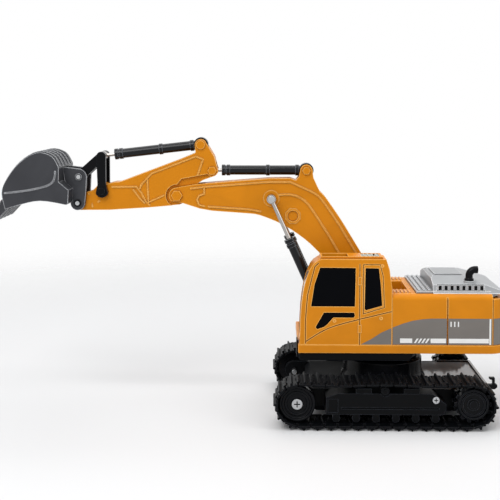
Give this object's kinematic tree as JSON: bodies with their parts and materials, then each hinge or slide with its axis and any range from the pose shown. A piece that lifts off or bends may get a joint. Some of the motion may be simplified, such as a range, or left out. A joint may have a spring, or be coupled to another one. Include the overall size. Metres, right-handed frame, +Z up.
{
  "type": "toy excavator",
  "caption": "Tracked toy excavator with swinging house, jointed boom, stick and bucket, and telescoping cylinders that follow each arm joint.",
  "frame": {"origin": "on the ground under the middle of the whole model, at the centre of the bottom of its bounding box", "axes": "+Z up; the bucket reaches towards -X and the counterweight is towards +X; the cab is on the -Y side, which is the operator's left"},
  "size_m": [0.3129, 0.1, 0.1699],
  "materials": {
    "orange_plastic": "satin moulded orange plastic",
    "black_plastic": "semi-gloss moulded black plastic",
    "dark_grey_plastic": "satin dark grey plastic",
    "silver_plastic": "silver-painted plastic",
    "steel": "plated steel",
    "dark_glazing": "glossy dark panel",
    "clear_plastic": "clear moulded pane",
    "circuit_green": "solder-mask green",
    "battery_sleeve": "steel cells in a printed sleeve"
  },
  "bodies": {
    "undercarriage": {"chassis": "black_plastic", "battery_cover": "black_plastic", "battery_pack": "battery_sleeve", "track_frame_left": "black_plastic", "track_frame_right": "black_plastic", "axle_bar_left": "black_plastic", "axle_bar_right": "black_plastic", "track_left": "black_plastic", "track_right": "black_plastic", "drive_gearboxes": "silver_plastic", "drive_motors": "steel", "wheel_axles": "steel", "carrier_rollers": "black_plastic", "tow_hook": "black_plastic", "slew_column": "black_plastic", "frame_screws": "steel"},
    "power_switch": {"power_switch": "black_plastic"},
    "sprocket_left": {"sprocket_left": "black_plastic"},
    "sprocket_right": {"sprocket_right": "black_plastic"},
    "idler_left": {"idler_left": "black_plastic"},
    "idler_right": {"idler_right": "black_plastic"},
    "house": {"base_plate": "black_plastic", "slew_spigot": "black_plastic", "platform": "orange_plastic", "side_panel_left": "orange_plastic", "side_panel_right": "orange_plastic", "counterweight": "orange_plastic", "front_deck": "orange_plastic", "boom_well": "orange_plastic", "tool_box": "orange_plastic", "boom_bracket": "dark_grey_plastic", "bracket_pins": "steel", "engine_cover": "silver_plastic", "engine_grilles": "silver_plastic", "exhaust_pipe": "black_plastic", "cab_shell": "orange_plastic", "cab_windows": "dark_glazing", "windscreen": "clear_plastic", "roof_hatch": "dark_grey_plastic", "roof_vent": "silver_plastic", "circuit_board": "circuit_green", "swing_motor": "steel"},
    "boom": {"boom_left": "orange_plastic", "boom_right": "orange_plastic", "boom_pins": "steel"},
    "stick": {"stick_left": "orange_plastic", "stick_right": "orange_plastic", "stick_pins": "steel"},
    "bucket": {"bucket": "dark_grey_plastic", "bucket_teeth": "dark_grey_plastic", "bucket_pins": "steel"},
    "rocker": {"rocker": "black_plastic"},
    "link": {"link": "black_plastic"},
    "boom_barrels": {"boom_barrels": "dark_grey_plastic"},
    "boom_rods": {"boom_rods": "steel"},
    "arm_barrel": {"arm_barrel": "dark_grey_plastic"},
    "arm_rod": {"arm_rod": "steel"},
    "bucket_barrel": {"bucket_barrel": "dark_grey_plastic"},
    "bucket_rod": {"bucket_rod": "steel"}
  },
  "joints": [
    {"name": "swing", "type": "hinge", "parent": "undercarriage", "child": "house", "pos_m": [0.084, 0, 0.036], "axis": [0, 0, 1], "continuous": true},
    {"name": "boom_lift", "type": "hinge", "parent": "house", "child": "boom", "pos_m": [0.0775, 0, 0.066], "axis": [0, -1, 0], "range_deg": [-8, 25]},
    {"name": "arm_curl", "type": "hinge", "parent": "boom", "child": "stick", "pos_m": [-0.0453, 0, 0.1336], "axis": [0, -1, 0], "range_deg": [0, 36]},
    {"name": "bucket_curl", "type": "hinge", "parent": "stick", "child": "bucket", "pos_m": [-0.107, 0, 0.129], "axis": [0, -1, 0], "range_deg": [0, 65]},
    {"name": "rocker_turn", "type": "hinge", "parent": "stick", "child": "rocker", "pos_m": [-0.0919, 0, 0.1365], "axis": [0, -1, 0], "range_deg": [-0.5, 49.9]},
    {"name": "link_turn", "type": "hinge", "parent": "rocker", "child": "link", "pos_m": [-0.09228, 0, 0.1582], "axis": [0, -1, 0], "range_deg": [-46.78, 0.5]},
    {"name": "boom_barrel_turn", "type": "hinge", "parent": "house", "child": "boom_barrels", "pos_m": [0.048, 0, 0.056], "axis": [0, -1, 0], "range_deg": [-9.3, 28]},
    {"name": "boom_rod_turn", "type": "hinge", "parent": "boom", "child": "boom_rods", "pos_m": [0.0137, 0, 0.132], "axis": [0, -1, 0], "range_deg": [-1.3, 3]},
    {"name": "arm_barrel_turn", "type": "hinge", "parent": "boom", "child": "arm_barrel", "pos_m": [0.0355, 0, 0.1492], "axis": [0, -1, 0], "range_deg": [-9.28, 0.5]},
    {"name": "arm_rod_turn", "type": "hinge", "parent": "stick", "child": "arm_rod", "pos_m": [-0.0232, 0, 0.1492], "axis": [0, -1, 0], "range_deg": [-45.28, 0.5]},
    {"name": "bucket_barrel_turn", "type": "hinge", "parent": "stick", "child": "bucket_barrel", "pos_m": [-0.0304, 0, 0.1653], "axis": [0, -1, 0], "range_deg": [-0.5, 3.98]},
    {"name": "bucket_rod_turn", "type": "hinge", "parent": "rocker", "child": "bucket_rod", "pos_m": [-0.09228, 0, 0.1582], "axis": [0, -1, 0], "range_deg": [-46.42, 0.5]},
    {"name": "switch_slide", "type": "slide", "parent": "undercarriage", "child": "power_switch", "axis": [1, 0, 0], "range_m": [0, 0.003]},
    {"name": "sprocket_left_spin", "type": "hinge", "parent": "undercarriage", "child": "sprocket_left", "pos_m": [0.13245, -0.039, 0.0146], "axis": [0, 1, 0], "continuous": true},
    {"name": "idler_left_spin", "type": "hinge", "parent": "undercarriage", "child": "idler_left", "pos_m": [0.02895, -0.039, 0.0146], "axis": [0, 1, 0], "continuous": true},
    {"name": "sprocket_right_spin", "type": "hinge", "parent": "undercarriage", "child": "sprocket_right", "pos_m": [0.13245, 0.039, 0.0146], "axis": [0, 1, 0], "continuous": true},
    {"name": "idler_right_spin", "type": "hinge", "parent": "undercarriage", "child": "idler_right", "pos_m": [0.02895, 0.039, 0.0146], "axis": [0, 1, 0], "continuous": true}
  ],
  "couplings": [
    {"joint": "rocker_turn", "follows": "bucket_curl", "ratio": 0.76},
    {"joint": "link_turn", "follows": "bucket_curl", "ratio": -0.712},
    {"joint": "boom_barrel_turn", "follows": "boom_lift", "ratio": 1.1},
    {"joint": "boom_rod_turn", "follows": "boom_lift", "ratio": 0.1},
    {"joint": "arm_barrel_turn", "follows": "arm_curl", "ratio": -0.244},
    {"joint": "arm_rod_turn", "follows": "arm_curl", "ratio": -1.244},
    {"joint": "bucket_barrel_turn", "follows": "bucket_curl", "ratio": 0.0535},
    {"joint": "bucket_rod_turn", "follows": "bucket_curl", "ratio": -0.7065},
    {"joint": "idler_left_spin", "follows": "sprocket_left_spin", "ratio": 1},
    {"joint": "idler_right_spin", "follows": "sprocket_right_spin", "ratio": 1}
  ]
}
